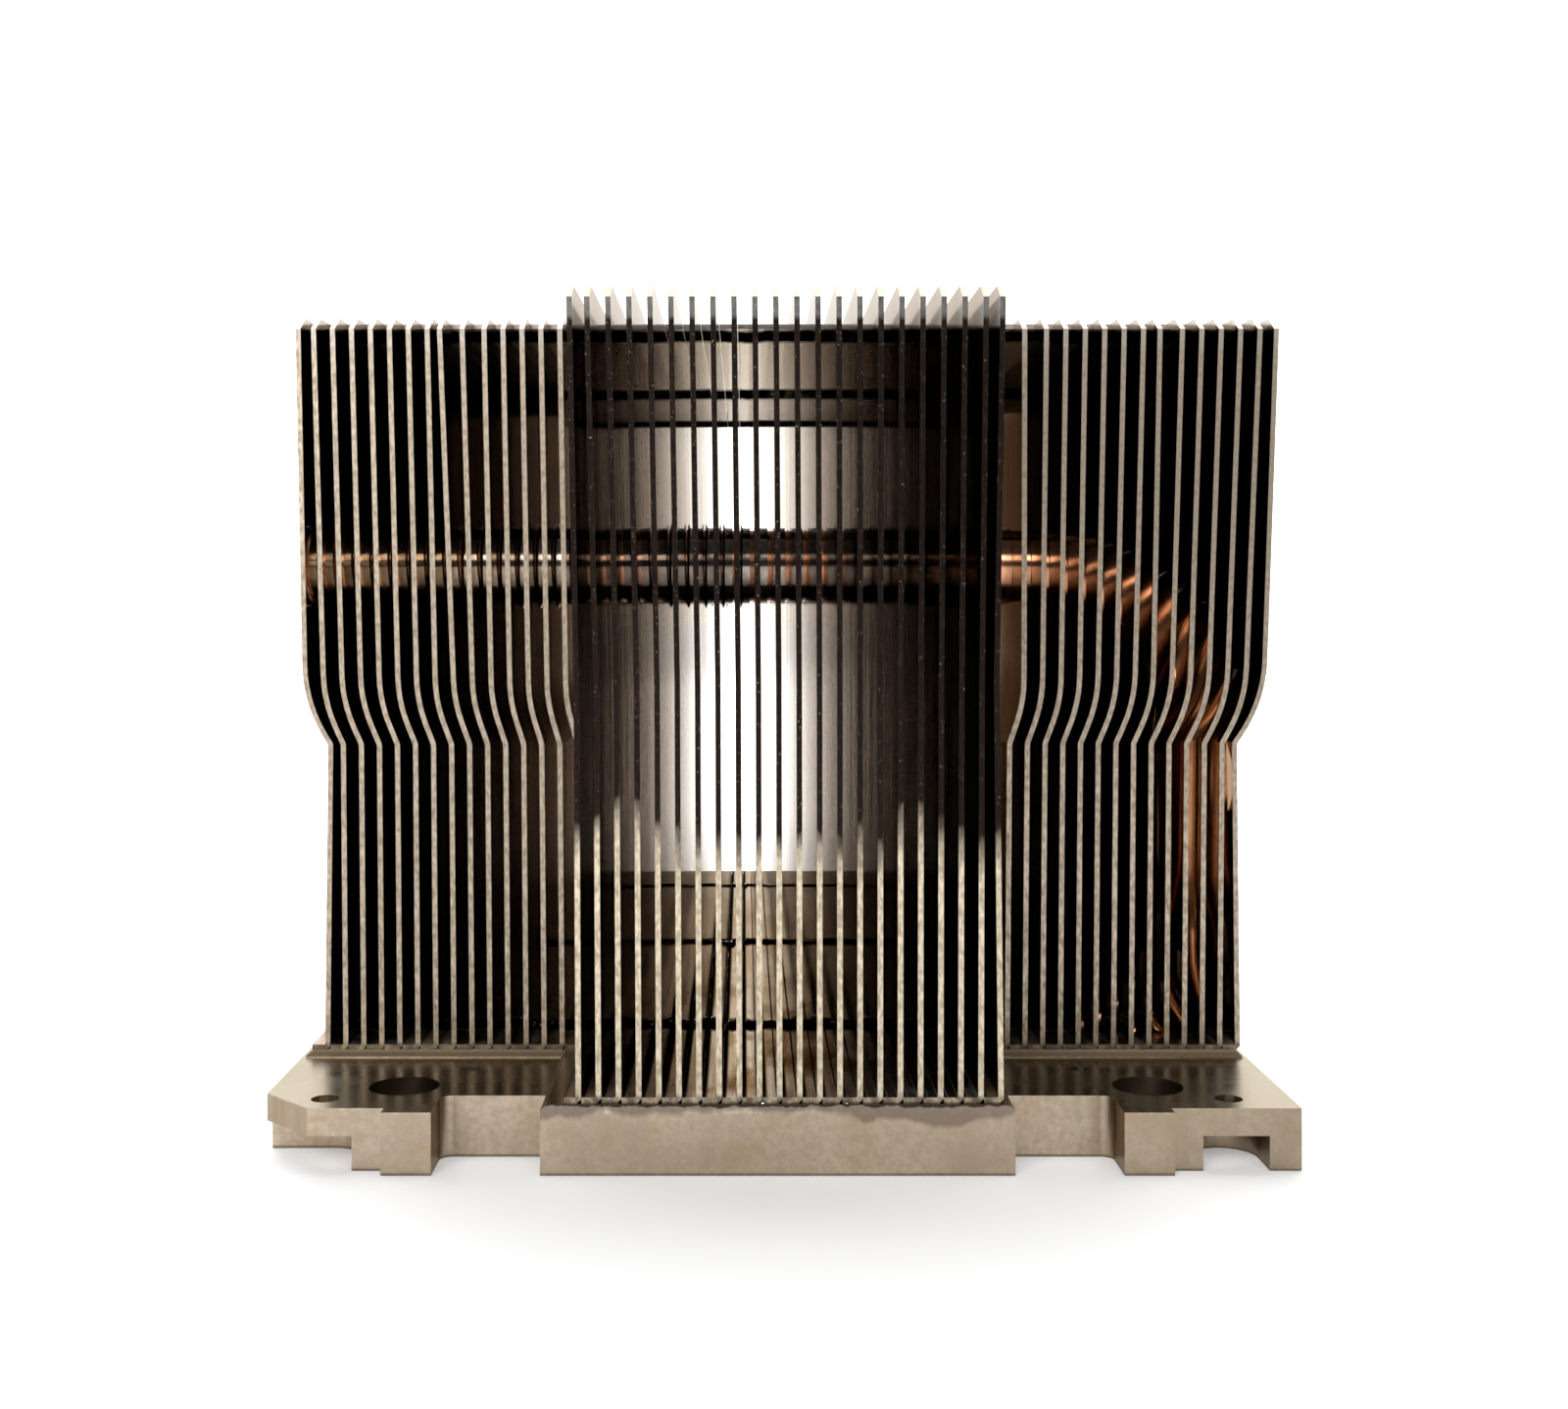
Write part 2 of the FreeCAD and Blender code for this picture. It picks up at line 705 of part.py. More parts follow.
def make_fin(fin, foot_reach, flange_reach):
    """A fin is one strip of sheet: a foot folded towards -X, a wall, and a top flange folded the
    same way to close the gap up to the fin before. Without a reach it has no flange."""
    name = fin["name"]
    lean = round(fin["top_x"] - fin["foot_x"], 4)
    wall_push = pushed_walls.get(name, 0)
    body = new_body(name, f"{fin['foot_x']:.4f}", "0", "Sizes.landTop")
    if fin["joggle"]:
        wall = joggled_path(fin["joggle"], wall_push)
    else:
        wall = straight_path(lean, wall_push)
    fold = "Sizes.foldRadius"
    path = [(f"-({foot_reach})", "0", None)]
    path.append((f"{half_sheet} - {fold}", "0", None))
    path.append((half_sheet, fold, None))
    path += wall
    path.append((f"{lean} + {half_sheet}", fin_height, None))
    if flange_reach:
        path.append((f"{lean} - {flange_reach}", fin_height, None))

    section = new_sketch(body, "Section", "XZ_Plane")
    draw_sheet(section, path)
    pad(body, "Strip", section, f"Sizes.plateDepth - 2 * {fin['inset']}", symmetric=True)

    front = f"-({half_depth}) + {fin['inset']}"
    ends = new_sketch(body, "TopCorners", "YZ_Plane")
    for end in (1, -1):
        draw_outline(ends, top_corner(front, end))
    pocket(body, "CutCorners", ends)
    if flange_reach:
        trim_flange(body, front, lean, flange_reach)
    cut_pipe_openings(body, path[2:], fin["foot_x"], foot_reach)
    return body


def place_fins():
    """Every fin from left to right, with where it stands, where its top is and how it joggles."""
    fins = []
    for group in fin_groups:
        foot, foot_step = group["foot"]
        top, top_step = group["top"]
        joggle, last_joggle = group["joggle"]
        for index in range(group["count"]):
            name = f"{group['name']}_{index + 1:02d}"
            share = index / (group["count"] - 1)
            fins.append(
                {
                    "name": name,
                    "foot_x": foot + foot_step * index,
                    "top_x": top + top_step * index + pushed_tops.get(name, 0),
                    "joggle": round(joggle + (last_joggle - joggle) * share, 4),
                    "inset": group["inset"],
                }
            )
    return fins


def room_before(place, place_before):
    """How far a fold can reach from the middle of its fin, up to the wall of the fin before."""
    return round(place - place_before - size("finThickness") / 2 - size("foldGap"), 4)


def make_fins():
    fins = place_fins()
    bodies = [make_fin(fins[0], size("footReach"), None)]
    for before, fin in zip(fins, fins[1:]):
        foot_room = room_before(fin["foot_x"], before["foot_x"])
        foot_reach = min(size("footReach"), foot_room)
        flange_reach = room_before(fin["top_x"], before["top_x"])
        bodies.append(make_fin(fin, foot_reach, flange_reach))
    return bodies


pieces = [make_base_plate()]
for pipe in pipes:
    pieces.append(make_heat_pipe(*pipe))
pieces += make_fins()

for piece in pieces:
    shape = piece.Shape
    if shape.isNull() or not shape.isValid() or len(shape.Solids) != 1:
        raise RuntimeError(f"{piece.Label} isn't one valid solid")
for item in doc.Objects:
    if "Invalid" in item.State or "Error" in item.State:
        raise RuntimeError(f"{item.Label}: {item.State}")

os.makedirs("parts", exist_ok=True)
for piece in pieces:
    piece.Shape.exportStep(f"parts/{piece.Label}.step")
print(f"{len(pieces)} parts")
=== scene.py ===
import math
import random

import bpy
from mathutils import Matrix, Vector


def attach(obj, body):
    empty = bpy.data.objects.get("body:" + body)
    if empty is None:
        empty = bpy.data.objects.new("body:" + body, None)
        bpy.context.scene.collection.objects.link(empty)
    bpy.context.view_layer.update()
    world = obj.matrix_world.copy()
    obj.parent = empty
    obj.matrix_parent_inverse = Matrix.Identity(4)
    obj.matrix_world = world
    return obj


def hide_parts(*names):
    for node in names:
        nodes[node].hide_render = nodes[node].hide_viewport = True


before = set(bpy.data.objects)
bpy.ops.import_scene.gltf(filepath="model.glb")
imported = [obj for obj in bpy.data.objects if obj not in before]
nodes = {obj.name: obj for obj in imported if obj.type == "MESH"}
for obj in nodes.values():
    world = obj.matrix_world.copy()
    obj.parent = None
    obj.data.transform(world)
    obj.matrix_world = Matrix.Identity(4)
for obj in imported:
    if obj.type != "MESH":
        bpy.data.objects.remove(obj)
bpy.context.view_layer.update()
mm = 0.001


# helpers for working on one piece at a time

def deselectAll():
    if bpy.context.object and bpy.context.object.mode != "OBJECT":
        bpy.ops.object.mode_set(mode="OBJECT")
    bpy.ops.object.select_all(action="DESELECT")


def startEdit():
    bpy.ops.object.mode_set(mode="EDIT")
    bpy.ops.mesh.select_all(action="SELECT")


def settle(piece, smoothAngle=35):
    # ends edit mode, puts the piece's place into its mesh, and smooths what is round
    deselectAll()
    bpy.context.view_layer.objects.active = piece
    piece.select_set(True)
    bpy.ops.object.transform_apply(location=True, rotation=True, scale=True)
    bpy.ops.object.shade_smooth_by_angle(angle=math.radians(smoothAngle))


def startRing(sides, radius, location=(0, 0, 0)):
    # a ring that faces along X, all of it selected in edit mode
    deselectAll()
    bpy.ops.mesh.primitive_circle_add(
        vertices=sides, radius=radius, location=location, rotation=(0, math.pi / 2, 0)
    )
    bpy.ops.object.transform_apply(location=True, rotation=True, scale=True)
    startEdit()
    return bpy.context.object


def extrudeRing(offset, scale=None, centre=None):
    # extrudes the selected ring, and can scale the new one round its centre
    bpy.ops.mesh.extrude_region_move(TRANSFORM_OT_translate={"value": offset})
    if scale:
        bpy.ops.transform.resize(value=scale, center_override=centre)


def joinPieces(name, parts):
    deselectAll()
    for part in parts:
        part.select_set(True)
    bpy.context.view_layer.objects.active = parts[0]
    bpy.ops.object.join()
    joined = bpy.context.object
    joined.name = name
    joined.data.name = name
    return joined


# helpers for materials; the owner of the nodes is a material or the world

def startMaterial(name, metallic=1.0):
    material = bpy.data.materials.new(name)
    material.use_nodes = True
    shader = material.node_tree.nodes["Principled BSDF"]
    shader.inputs["Metallic"].default_value = metallic
    return material, shader


def addNode(owner, kind, **settings):
    node = owner.node_tree.nodes.new(kind)
    for name, setting in settings.items():
        setattr(node, name, setting)
    return node


def feed(owner, source, socket):
    # sets a colour or a number on a socket, or wires another node's output to it
    if isinstance(source, tuple):
        socket.default_value = (*source, 1)
    elif isinstance(source, (int, float)):
        socket.default_value = source
    else:
        owner.node_tree.links.new(source, socket)


def mapRange(owner, source, fromLow, fromHigh, toLow=0.0, toHigh=1.0):
    node = addNode(owner, "ShaderNodeMapRange")
    for socket, number in zip(node.inputs, (source, fromLow, fromHigh, toLow, toHigh)):
        feed(owner, number, socket)
    return node.outputs["Result"]


def calculate(owner, operation, *sources):
    node = addNode(owner, "ShaderNodeMath", operation=operation)
    for socket, source in zip(node.inputs, sources):
        feed(owner, source, socket)
    return node.outputs["Value"]


def product(owner, first, *others):
    for other in others:
        first = calculate(owner, "MULTIPLY", first, other)
    return first


def total(owner, first, second):
    return calculate(owner, "ADD", first, second)


def difference(owner, first, second):
    return calculate(owner, "SUBTRACT", first, second)


def inverse(owner, source):
    return difference(owner, 1.0, source)


def absolute(owner, source):
    return calculate(owner, "ABSOLUTE", source)


def highest(owner, first, *others):
    for other in others:
        first = calculate(owner, "MAXIMUM", first, other)
    return first


def mixValues(owner, share, first, second):
    node = addNode(owner, "ShaderNodeMix", data_type="FLOAT")
    factor, _, firstSocket, secondSocket = node.inputs[:4]
    for socket, source in ((factor, share), (firstSocket, first), (secondSocket, second)):
        feed(owner, source, socket)
    return node.outputs[0]


def mixColours(owner, share, first, second):
    node = addNode(owner, "ShaderNodeMix", data_type="RGBA")
    feed(owner, share, node.inputs[0])
    colourInputs = [socket for socket in node.inputs if socket.type == "RGBA"]
    for socket, source in zip(colourInputs, (first, second)):
        feed(owner, source, socket)
    return [socket for socket in node.outputs if socket.type == "RGBA"][0]


def paint(owner, colour, coats):
    # lays each coat over the ones before it, as thick as its share
    for share, coat in coats:
        colour = mixColours(owner, share, colour, coat)
    return colour


def splitAxes(owner, vector):
    split = addNode(owner, "ShaderNodeSeparateXYZ")
    feed(owner, vector, split.inputs["Vector"])
    return split.outputs["X"], split.outputs["Y"], split.outputs["Z"]


def scaledPlace(owner, scale):
    place = addNode(owner, "ShaderNodeTexCoord")
    mapping = addNode(owner, "ShaderNodeMapping")
    mapping.inputs["Scale"].default_value = scale
    feed(owner, place.outputs["Object"], mapping.inputs["Vector"])
    return mapping.outputs["Vector"]


def position(owner):
    # X, Y and Z on the piece, in millimetres
    return splitAxes(owner, scaledPlace(owner, (1 / mm, 1 / mm, 1 / mm)))


def facing(owner):
    # which way the surface faces, one number for each of X, Y and Z
    geometry = addNode(owner, "ShaderNodeNewGeometry")
    return splitAxes(owner, geometry.outputs["True Normal"])


def noise(owner, scale, stretch=(1, 1, 1), detail=4, roughness=0.55):
    # noise on the piece's own coordinates, drawn out along the axes with a small stretch
    node = addNode(owner, "ShaderNodeTexNoise")
    settings = {"Scale": scale, "Detail": detail, "Roughness": roughness}
    for name, setting in settings.items():
        node.inputs[name].default_value = setting
    feed(owner, scaledPlace(owner, stretch), node.inputs["Vector"])
    return node.outputs["Fac"]


def pattern(owner, scale, span, share=(0.0, 1.0), **settings):
    # the noise between the two values of its span, spread over the share
    return mapRange(owner, noise(owner, scale, **settings), *span, *share)


def bandAt(owner, source, centre, halfWidth, softness=0.25):
    # 1 within a band round the centre, and 0 outside it
    away = absolute(owner, difference(owner, source, centre))
    return mapRange(owner, away, halfWidth * (1 + softness), halfWidth * (1 - softness))


def addBump(owner, shader, heights, strength, distance):
    bump = addNode(owner, "ShaderNodeBump")
    bump.inputs["Strength"].default_value = strength
    bump.inputs["Distance"].default_value = distance * mm
    feed(owner, heights, bump.inputs["Height"])
    feed(owner, bump.outputs["Normal"], shader.inputs["Normal"])


def dress(piece, material):
    slots = piece.data.materials
    for index in range(len(slots)):
        slots[index] = material
    if not len(slots):
        slots.append(material)


# base plate

plateLooks = {
    "halfDepth": 54.0,
    "blockHalfWidth": 17.0,
    "cornerHeight": 4.5,
    "landTop": 5.1,
    "screwPlace": (28.0, 47.0),
    "screwRadius": 2.65,
    # zones: where each one starts and ends, and its share before and after
    "upFacing": (0.85, 0.95),
    "endFacing": (0.3, 0.8, 0.0, 0.75),
    "towardRight": (20, 37, 0.0, 0.55),
    "towardFins": (34, 22),
    "bottomEdge": (0.25, 0.0),
    "shadeAtFoot": (0.24, 0.06, 0.0, 0.8),
    "besideBlock": (0.05, -0.05),
    "inScrewHole": (0.2, 0.1, 0.0, 0.85),
    "recessDepth": (0.4, 0.8, 0.2, 1.0),
    "blockEndDepth": (0.2, 0.05),
    "cornerEdge": (-0.2, 0.0),
    "lip": (0.06, 0.12, 0.0, 0.9),
    "lipHighlight": (-0.2, -0.12),
    "tinted": (-0.35, 0.05, 0.0, 0.8),
    "burnt": (-0.06, 0.02, 0.0, 0.95),
    "sideColour": (0.54, 0.44, 0.33),
    "sideShade": (0.38, 0.305, 0.225),
    "paintedEndShade": (0.24, 0.195, 0.145),
    "topColour": (0.40, 0.37, 0.32),
    "finShadeOnTop": (0.22, 0.18, 0.135),
    "wornEdge": (0.74, 0.66, 0.54),
    "rust": (0.42, 0.29, 0.17),
    "paintedRightShade": (0.20, 0.155, 0.105),
    "contactShade": (0.10, 0.075, 0.055),
    "boreShade": (0.13, 0.095, 0.06),
    "heatTint": (0.20, 0.15, 0.125),
    "burntEdge": (0.035, 0.026, 0.02),
    "lipHighlightColour": (0.46, 0.35, 0.22),
    "lipColour": (0.24, 0.17, 0.105),
    "lipFlux": 0.65,
    "grazing": (0.60, 0.57, 0.51),
    "blotches": {"scale": 95, "span": (0.35, 0.68)},
    "feedMarks": {
        "scale": 900,
        "span": (0.35, 0.75),
        "share": (0.0, 0.28),
        "stretch": (1, 1, 0.05),
        "detail": 2,
    },
    "chips": {"scale": 1400, "span": (0.45, 0.62), "share": (0.0, 0.55)},
    "mottle": {
        "scale": 1900,
        "span": (0.4, 0.62),
        "share": (0.0, 0.7),
        "detail": 6,
        "roughness": 0.7,
    },
    "rustSpots": {
        "scale": 260,
        "span": (0.52, 0.68),
        "share": (0.0, 0.4),
        "stretch": (1, 1, 1.6),
        "detail": 5,
    },
    "heatWaves": {
        "scale": 130, "span": (0.36, 0.66), "share": (0.0, 1.5), "stretch": (1, 0, 0.3)
    },
    "burntSpecks": {
        "scale": 1100, "span": (0.3, 0.7), "share": (0.0, 0.3), "stretch": (1, 1, 0.6)
    },
    "clouds": {
        "scale": 60, "span": (0.3, 0.7), "share": (0.45, 0.9), "stretch": (1, 1.8, 1)
    },
    "smears": {"scale": 140, "span": (0.3, 0.7)},
    "grain": {"scale": 2600, "stretch": (1, 1, 0.06), "detail": 2},
    "pits": {"scale": 700, "detail": 6},
    "polishedGrain": 0.5,
    "pitDepth": 0.35,
    "bump": (0.22, 0.02),
    "sideRoughness": (0.26, 0.40),
    "topRoughness": (0.20, 0.34),
}


def distanceFromScrew(owner, awayX, awayY, screwPlace):
    # how far a place in any quarter of the plate is from its screw's axis
    squares = []
    for away, centre in zip((awayX, awayY), screwPlace):
        fromAxis = difference(owner, away, centre)
        squares.append(product(owner, fromAxis, fromAxis))
    return calculate(owner, "SQRT", total(owner, *squares))


def makePlateMaterial(looks):
    material, shader = startMaterial("platedBase")
    shader.inputs["Specular Tint"].default_value = (*looks["grazing"], 1)
    x, y, z = position(material)
    awayX, awayY = absolute(material, x), absolute(material, y)
    depth = difference(material, looks["halfDepth"], awayY)
    overCorner = difference(material, z, looks["cornerHeight"])
    overLand = difference(material, z, looks["landTop"])
    facesX, _, facesZ = facing(material)
    facesUp = mapRange(material, facesZ, *looks["upFacing"])

    # satin sides: blotchy, with painted shade on the faces that look along X, and with feed marks
    # in the recesses
    blotches = pattern(material, **looks["blotches"])
    shadedEnds = mapRange(material, absolute(material, facesX), *looks["endFacing"])
    recessed = mapRange(material, depth, *looks["recessDepth"])
    feedMarks = product(material, pattern(material, **looks["feedMarks"]), recessed)
    nearBottom = mapRange(material, z, *looks["bottomEdge"])
    nearCorner = mapRange(material, overCorner, *looks["cornerEdge"])
    nearEdges = highest(material, nearBottom, nearCorner)
    chips = product(material, nearEdges, pattern(material, **looks["chips"]))
    mottle = pattern(material, **looks["mottle"])
    rustSpots = pattern(material, **looks["rustSpots"])
    # painted shade: a dark line along the foot of the sides, where the plate stands on the floor
    shadeAtFoot = mapRange(material, z, *looks["shadeAtFoot"])
    fromScrew = distanceFromScrew(material, awayX, awayY, looks["screwPlace"])
    fromHole = difference(material, fromScrew, looks["screwRadius"])
    inHole = mapRange(material, fromHole, *looks["inScrewHole"])
    # painted shade: the sides grow darker toward the right, where less light falls
    towardRight = mapRange(material, x, *looks["towardRight"])

    # heat tint hangs in waves from the top of the middle block's ends, under a burnt edge
    fromBlock = difference(material, awayX, looks["blockHalfWidth"])
    onBlock = mapRange(material, fromBlock, *looks["besideBlock"])
    onBlockEnd = product(material, onBlock, mapRange(material, depth, *looks["blockEndDepth"]))
    waves = total(material, overLand, pattern(material, **looks["heatWaves"]))
    tinted = product(material, onBlockEnd, mapRange(material, waves, *looks["tinted"]))
    specks = total(material, overLand, pattern(material, **looks["burntSpecks"]))
    burnt = product(material, onBlockEnd, mapRange(material, specks, *looks["burnt"]))
    sides = paint(material, looks["sideColour"], [
        (blotches, looks["sideShade"]),
        (shadedEnds, looks["paintedEndShade"]),
        (feedMarks, looks["wornEdge"]),
        (chips, looks["wornEdge"]),
        (mottle, looks["sideShade"]),
        (rustSpots, looks["rust"]),
        (shadeAtFoot, looks["contactShade"]),
        (inHole, looks["boreShade"]),
        (towardRight, looks["paintedRightShade"]),
        (tinted, looks["heatTint"]),
        (burnt, looks["burntEdge"]),
    ])

    # the polished top is darkened to brown toward the fins with painted shade, in random clouds
    towardFins = mapRange(material, awayX, *looks["towardFins"])
    finShade = product(material, towardFins, pattern(material, **looks["clouds"]))
    tops = mixColours(material, finShade, looks["topColour"], looks["finShadeOnTop"])

    # the lip of the land is brown with old flux, with a painted gold highlight along its top
    onLip = mapRange(material, overCorner, *looks["lip"])
    lip = product(material, onLip, inverse(material, onBlock))
    lipHighlight = mapRange(material, overLand, *looks["lipHighlight"])
    lipColour = mixColours(material, lipHighlight, looks["lipColour"], looks["lipHighlightColour"])
    colour = paint(material, sides, [(facesUp, tops), (lip, lipColour)])
    feed(material, colour, shader.inputs["Base Color"])
    dull = product(material, lip, looks["lipFlux"])
    feed(material, inverse(material, dull), shader.inputs["Metallic"])

    smears = pattern(material, **looks["smears"])
    sideRough = mapRange(material, smears, 0, 1, *looks["sideRoughness"])
    topRough = mapRange(material, smears, 0, 1, *looks["topRoughness"])
    feed(material, mixValues(material, facesUp, sideRough, topRough), shader.inputs["Roughness"])

    # the upright grain of the sides is polished away on top
    grain = noise(material, **looks["grain"])
    grain = mixValues(material, facesUp, grain, looks["polishedGrain"])
    pits = product(material, noise(material, **looks["pits"]), looks["pitDepth"])
    addBump(material, shader, total(material, grain, pits), *looks["bump"])
    return material


dress(nodes["base_plate"], makePlateMaterial(plateLooks))
print("base plate dressed")


# fins

finLooks = {
    "side": {
        "face": (0.52, 0.45, 0.37),
        "faceShade": (0.43, 0.365, 0.29),
        "edge": (0.46, 0.385, 0.30),
        "edgeShade": (0.26, 0.21, 0.155),
        "roughEdge": (0.42, 0.36, 0.29),
        "shearedFrom": 90.0,
        "ceiling": (0.90, 0.82, 0.72),
        "seam": (-20.0, 6.0),
        "ceilingBare": (0.40, 0.03),
        "grazing": (0.62, 0.56, 0.50),
    },
    "centre": {
        "face": (0.52, 0.46, 0.38),
        "faceShade": (0.43, 0.37, 0.295),
        "edge": (0.70, 0.60, 0.45),
        "edgeShade": (0.40, 0.335, 0.24),
        "roughEdge": (0.017, 0.012, 0.010),
        "shearedFrom": 24.0,
        "ceiling": (0.50, 0.50, 0.52),
        "seam": (14.0, 15.0),
        "ceilingBare": (0.74, 0.64),
        "footPitch": (-14.28, 1.4424),
        "grazing": (0.42, 0.35, 0.275),
    },
    # zones: where each one starts and ends, and its share before and after
    "edgeFacing": (0.7, 0.85),
    "ceilingFacing": (-0.85, -0.95),
    "footFacing": (0.6, 0.7),
    "tipFacing": (0.3, 0.4),
    "topFacing": (0.9, 0.95),
    "stainedLength": (0, -45, 0.15, 0.95),
    "ceilingHeight": (60.0, 61.0),
    "floorHeight": (6.0, 5.9),
    "footEndHeight": (5.75, 5.45),
    "tipHeight": (61.0, 62.0),
    "cleanHeight": (61.2, 61.6, 0.0, 0.3),
    "cornerHeight": (68.75, 69.05),  # at Y = 0, and it falls toward the fin's ends
    "cornerFall": 0.152,
    "lineShade": (0.018, 0.013, 0.010),
    "ceilingShadeLines": ((-29.3, 3.6), (14.0, 4.8), (46.8, 4.6)),
    "floorShadeLines": ((-31.5, 2.0), (4.8, 1.8), (41.6, 1.4)),
    "besideWall": (0.42, 0.30),
    "besideNext": (0.80, 0.88),
    "foot": (0.56, 0.54, 0.52),
    "footStreak": (0.36, 0.32, 0.27),
    "footBare": (0.97, 0.25),
    "fluxStain": (0.24, 0.135, 0.07),
    "fluxEdge": (0.13, 0.10, 0.075),
    "tip": (0.44, 0.43, 0.41),
    "corner": (0.70, 0.70, 0.70),
    "cornerDulling": 0.45,
    "top": (0.20, 0.19, 0.175),
    "rolling": {"scale": 420, "span": (0.35, 0.7), "stretch": (1, 1, 0.06)},
    "wobble": {
        "scale": 700, "span": (0.3, 0.7), "share": (-0.9, 0.9), "stretch": (1, 0.2, 1)
    },
    "stains": {"scale": 170, "span": (0.48, 0.64), "stretch": (1.6, 0.5, 1), "detail": 5},
    "streaks": {"scale": 1300, "span": (0.42, 0.6), "stretch": (1, 0.03, 1), "detail": 2},
    "flecks": {"scale": 3600, "stretch": (1, 1, 0.5), "detail": 3},
    "fleckSpan": (0.35, 0.65),
    "shearBlend": 1.5,
    "ragged": {
        "scale": 180, "span": (0.3, 0.7), "share": (-2.5, 2.5), "stretch": (1, 1, 0.4)
    },
    "glints": {"scale": 9000, "span": (0.66, 0.78), "stretch": (1, 1, 0.5), "detail": 2},
    "fluxSpots": {"scale": 1100, "span": (0.36, 0.58), "share": (0.25, 0.95)},
    "faceWaves": {"scale": 130, "stretch": (1, 1, 0.15), "detail": 2},
    "fleckDepth": 1.6,
    "bump": (0.14, 0.02),
    "faceRoughness": (0.04, 0.10),
    "edgeRoughness": (0.28, 0.46),
}


def paintedShadeLines(owner, looks, shared, x, along, onCeiling, onFeet):
    # dark lines of painted shade across the flanges and the feet, and along both sides of a foot
    lines = []
    if "footPitch" in looks:
        first, pitch = looks["footPitch"]
        feet = calculate(owner, "DIVIDE", difference(owner, x, first), pitch)
        across = calculate(owner, "FRACT", feet)
        nearWall = mapRange(owner, across, *shared["besideWall"])
        nearNext = mapRange(owner, across, *shared["besideNext"])
        lines.append(product(owner, onFeet, highest(owner, nearWall, nearNext)))
    for where, places in ((onCeiling, "ceilingShadeLines"), (onFeet, "floorShadeLines")):
        for centre, halfWidth in shared[places]:
            lines.append(product(owner, where, bandAt(owner, along, centre, halfWidth)))
    return highest(owner, *lines)


def makeFinMaterial(name, looks, shared):
    material, shader = startMaterial(name)
    shader.inputs["Specular Tint"].default_value = (*looks["grazing"], 1)
    shader.inputs["Specular IOR Level"].default_value = 0.0
    x, y, z = position(material)
    _, facesY, facesZ = facing(material)
    onEdge = mapRange(material, absolute(material, facesY), *shared["edgeFacing"])

    # mirror faces, drawn vertically with faint streaks from rolling
    rolling = pattern(material, **shared["rolling"])
    faces = mixColours(material, rolling, looks["face"], looks["faceShade"])

    # underside of the flanges: filmed over, less bare metal behind a ragged seam
    along = total(material, y, pattern(material, **shared["wobble"]))
    facesDown = mapRange(material, facesZ, *shared["ceilingFacing"])
    onCeiling = product(material, facesDown, mapRange(material, z, *shared["ceilingHeight"]))
    faces = mixColours(material, onCeiling, faces, looks["ceiling"])
    ceilingBare = mapRange(material, along, *looks["seam"], *looks["ceilingBare"])
    bare = mixValues(material, onCeiling, 1.0, ceilingBare)

    # the walls are dull silver where their top corners stand free of the flanges
    upright = inverse(material, absolute(material, facesZ))
    fall = product(material, absolute(material, y), shared["cornerFall"])
    outer = mapRange(material, total(material, z, fall), *shared["cornerHeight"])
    onCorner = product(material, upright, outer)
    faces = mixColours(material, onCorner, faces, shared["corner"])
    bare = difference(material, bare, product(material, onCorner, shared["cornerDulling"]))

    # feet: streaked, and stained with old flux, most at the front
    facesUp = mapRange(material, facesZ, *shared["footFacing"])
    onFeet = product(material, mapRange(material, z, *shared["floorHeight"]), facesUp)
    nearFront = mapRange(material, y, *shared["stainedLength"])
    stain = product(material, pattern(material, **shared["stains"]), nearFront)
    feet = paint(material, shared["foot"], [
        (pattern(material, **shared["streaks"]), shared["footStreak"]),
        (stain, shared["fluxStain"]),
    ])
    faces = mixColours(material, onFeet, faces, feet)
    bare = mixValues(material, onFeet, bare, mapRange(material, stain, 0, 1, *shared["footBare"]))

    # the painted lines of shade aren't metal, and cut edges are bare metal all over
    dark = paintedShadeLines(material, looks, shared, x, along, onCeiling, onFeet)
    faces = mixColours(material, dark, faces, shared["lineShade"])
    bare = product(material, bare, inverse(material, dark))
    feed(material, mixValues(material, onEdge, bare, 1.0), shader.inputs["Metallic"])

    # cut edges: bright below, torn and dark above the height where the shear broke out
    fleckNoise = noise(material, **shared["flecks"])
    flecks = mapRange(material, fleckNoise, *shared["fleckSpan"])
    ragged = total(material, z, pattern(material, **shared["ragged"]))
    start, blend = looks["shearedFrom"], shared["shearBlend"]
    sheared = mapRange(material, ragged, start - blend, start + blend)
    # the glints are painted highlights: light specks in the colour of the torn edge
    glints = pattern(material, **shared["glints"])
    torn = mixColours(material, glints, looks["roughEdge"], looks["edgeShade"])
    footEnd = mapRange(material, z, *shared["footEndHeight"])
    fluxOnEnd = product(material, footEnd, pattern(material, **shared["fluxSpots"]))
    edges = paint(material, looks["edge"], [
        (flecks, looks["edgeShade"]),
        (sheared, torn),
        (fluxOnEnd, shared["fluxEdge"]),
        (mapRange(material, z, *shared["cleanHeight"]), shared["tip"]),
    ])

    # what faces up at the top: the cut corners, and the closed top with its satin finish
    highUp = mapRange(material, z, *shared["tipHeight"])
    onTip = product(material, mapRange(material, facesZ, *shared["tipFacing"]), highUp)
    onTop = product(material, onTip, mapRange(material, facesZ, *shared["topFacing"]))
    colour = paint(material, faces, [
        (onEdge, edges),
        (onTip, shared["tip"]),
        (onTop, shared["top"]),
    ])
    feed(material, colour, shader.inputs["Base Color"])

    faceRough = mapRange(material, rolling, 0, 1, *shared["faceRoughness"])
    edgeRough = mapRange(material, flecks, 0, 1, *shared["edgeRoughness"])
    matt = highest(material, onEdge, onTop)
    feed(material, mixValues(material, matt, faceRough, edgeRough), shader.inputs["Roughness"])

    waves = product(material, noise(material, **shared["faceWaves"]), inverse(material, onEdge))
    fine = product(material, fleckNoise, onEdge, shared["fleckDepth"])
    addBump(material, shader, total(material, waves, fine), *shared["bump"])
    return material


